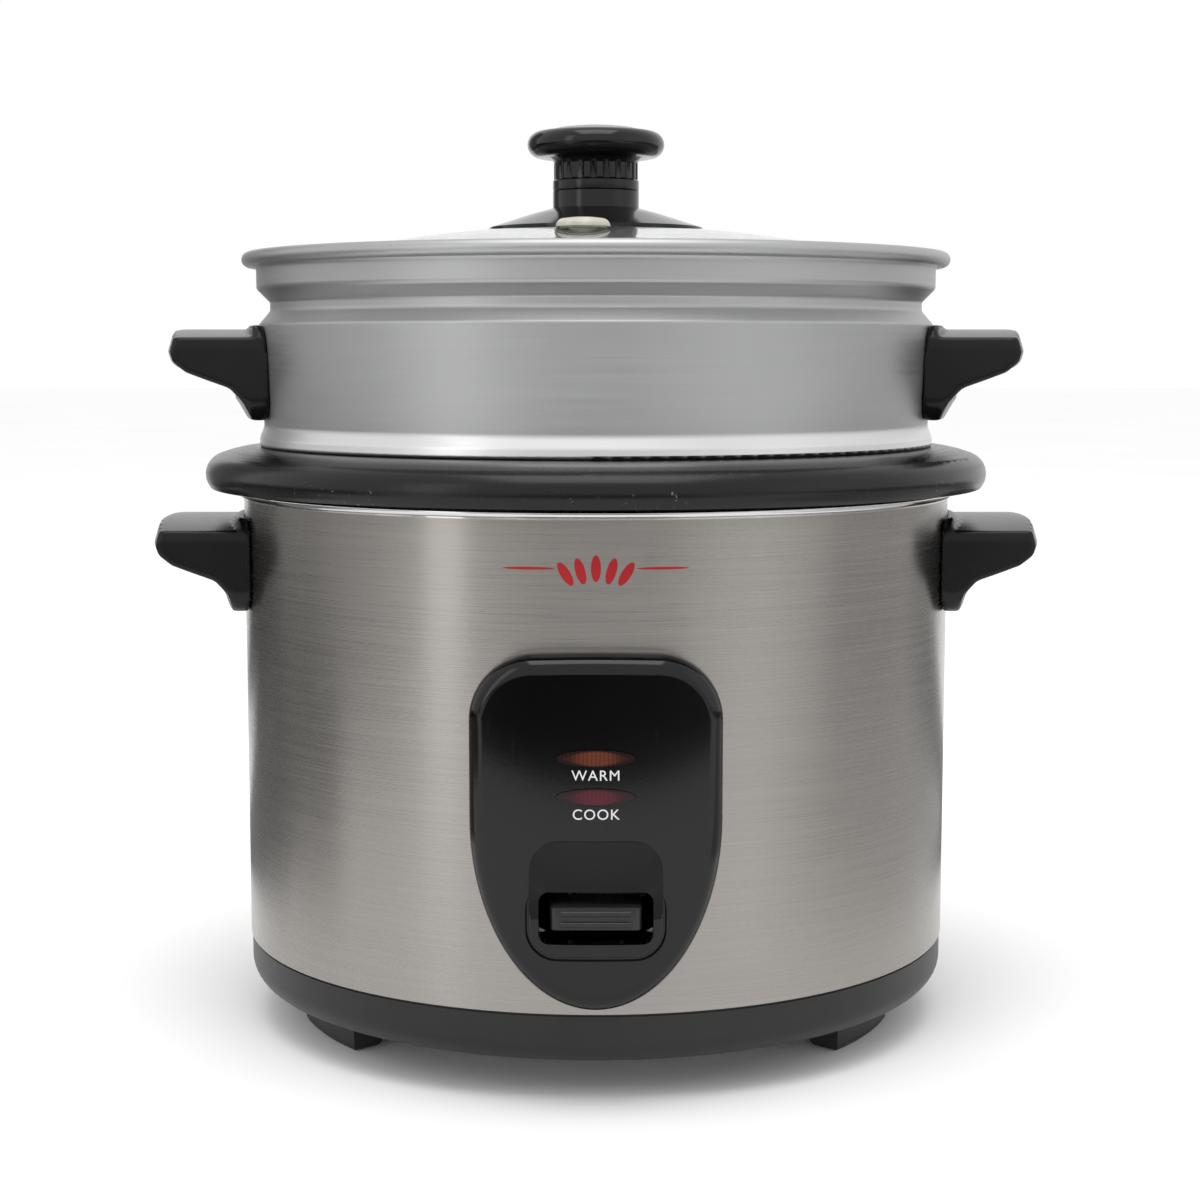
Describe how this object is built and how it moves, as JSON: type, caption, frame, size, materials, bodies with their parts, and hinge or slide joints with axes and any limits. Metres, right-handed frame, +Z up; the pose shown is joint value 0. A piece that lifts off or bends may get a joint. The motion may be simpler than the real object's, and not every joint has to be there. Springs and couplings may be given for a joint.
{
  "type": "rice cooker",
  "caption": "Drum rice cooker with lift-out pot, steamer tray and glass lid; front switch lever works a magnetic thermostat under the pot.",
  "frame": {"origin": "on the drum's axis, at the bottom of the feet", "axes": "+Z up along the drum's axis, -Y to the front with the control panel, +X to the handle on the right seen from the front"},
  "size_m": [0.295, 0.2608, 0.2966],
  "materials": {
    "drum_steel": "brushed round the drum, satin",
    "base_plastic": "fine moulded texture",
    "handle_plastic": "satin moulded",
    "panel_plastic": "high gloss",
    "lever_plastic": "satin moulded",
    "lens_amber": "clear tinted",
    "lens_red": "clear tinted",
    "pot_coating": "dark non-stick, satin",
    "tray_aluminium": "satin",
    "lid_glass": "clear toughened",
    "lid_steel": "polished",
    "knob_plastic": "gloss",
    "liner_steel": "zinc plated",
    "cast_plate": "machined top, cast sides",
    "element_steel": "bright annealed",
    "ferrite": "sintered",
    "hardware_steel": "zinc plated",
    "spring_steel": "bright",
    "brass": "plain",
    "insulator": "plain ceramic-like",
    "circuit_board": "paper board",
    "lamp_glass": "clear",
    "heater_mica": "mica sheet",
    "wire_sleeve": "silicone",
    "washer_silicone": "silicone",
    "vent_metal": "satin"
  },
  "bodies": {
    "cooker_body": {"body_shell": "drum_steel", "base_ring": "base_plastic", "bottom_cover": "liner_steel", "foot_front_left": "base_plastic", "foot_front_right": "base_plastic", "foot_rear": "base_plastic", "foot_screws": "hardware_steel", "cover_screws": "hardware_steel", "support_posts": "hardware_steel", "post_screws": "hardware_steel", "well_liner": "liner_steel", "heating_plate": "cast_plate", "heating_element": "element_steel", "element_bushings": "insulator", "plate_spacers": "hardware_steel", "plate_screws": "hardware_steel", "sensor_sleeve": "liner_steel", "sensor_spring": "spring_steel", "lever_bracket": "liner_steel", "lever_pin": "hardware_steel", "micro_switch": "insulator", "control_panel": "panel_plastic", "panel_screws": "hardware_steel", "lens_warm": "lens_amber", "lens_cook": "lens_red", "lamp_warm": "lamp_glass", "lamp_cook": "lamp_glass", "lamp_board": "circuit_board", "board_screws": "hardware_steel", "body_handle_left": "handle_plastic", "body_handle_right": "handle_plastic", "body_handle_screws": "hardware_steel", "inlet_socket": "handle_plastic", "inlet_pins": "brass", "inlet_screws": "hardware_steel", "keep_warm_heater": "heater_mica", "thermal_fuse": "hardware_steel", "internal_wires": "wire_sleeve"},
    "pot": {"inner_pot": "pot_coating"},
    "steamer": {"steamer_tray": "tray_aluminium", "tray_handle_left": "handle_plastic", "tray_handle_right": "handle_plastic", "tray_handle_rivets": "hardware_steel"},
    "lid": {"lid_glass": "lid_glass", "lid_band": "lid_steel", "vent_cap": "vent_metal", "vent_nut": "vent_metal", "knob_skirt": "knob_plastic", "knob": "knob_plastic", "knob_screw": "hardware_steel", "knob_washer": "washer_silicone"},
    "switch_lever": {"lever_arm": "hardware_steel", "lever_button": "lever_plastic"},
    "magnet_set": {"magnet": "ferrite", "magnet_rod": "hardware_steel"},
    "plunger": {"switch_plunger": "brass"},
    "sensor": {"sensor_cap": "cast_plate", "sensor_ferrite": "ferrite"}
  },
  "joints": [
    {"name": "pot_lift", "type": "slide", "parent": "cooker_body", "child": "pot", "axis": [0, 0, 1], "range_m": [0, 0.16]},
    {"name": "steamer_lift", "type": "slide", "parent": "pot", "child": "steamer", "axis": [0, 0, 1], "range_m": [0, 0.1]},
    {"name": "lid_lift", "type": "slide", "parent": "steamer", "child": "lid", "axis": [0, 0, 1], "range_m": [0, 0.1]},
    {"name": "lever_press", "type": "hinge", "parent": "cooker_body", "child": "switch_lever", "pos_m": [0, -0.08, 0.05], "axis": [1, 0, 0], "range_deg": [0, 4.4], "stiffness_Nm_per_rad": 0.4, "springref_deg": -6.88},
    {"name": "magnet_rise", "type": "slide", "parent": "cooker_body", "child": "magnet_set", "axis": [0, 0, 1], "range_m": [0, 0.0062]},
    {"name": "plunger_press", "type": "slide", "parent": "cooker_body", "child": "plunger", "axis": [0, 0, 1], "range_m": [0, 0.002]},
    {"name": "sensor_rise", "type": "slide", "parent": "cooker_body", "child": "sensor", "axis": [0, 0, 1], "range_m": [0, 0.003], "deforming": ["sensor_spring"]}
  ],
  "couplings": [
    {"joint": "magnet_rise", "follows": "lever_press", "m_per_rad": 0.08},
    {"joint": "plunger_press", "follows": "lever_press", "m_per_rad": 0.025},
    {"joint": "sensor_rise", "follows": "pot_lift", "ratio": 0.0187}
  ]
}
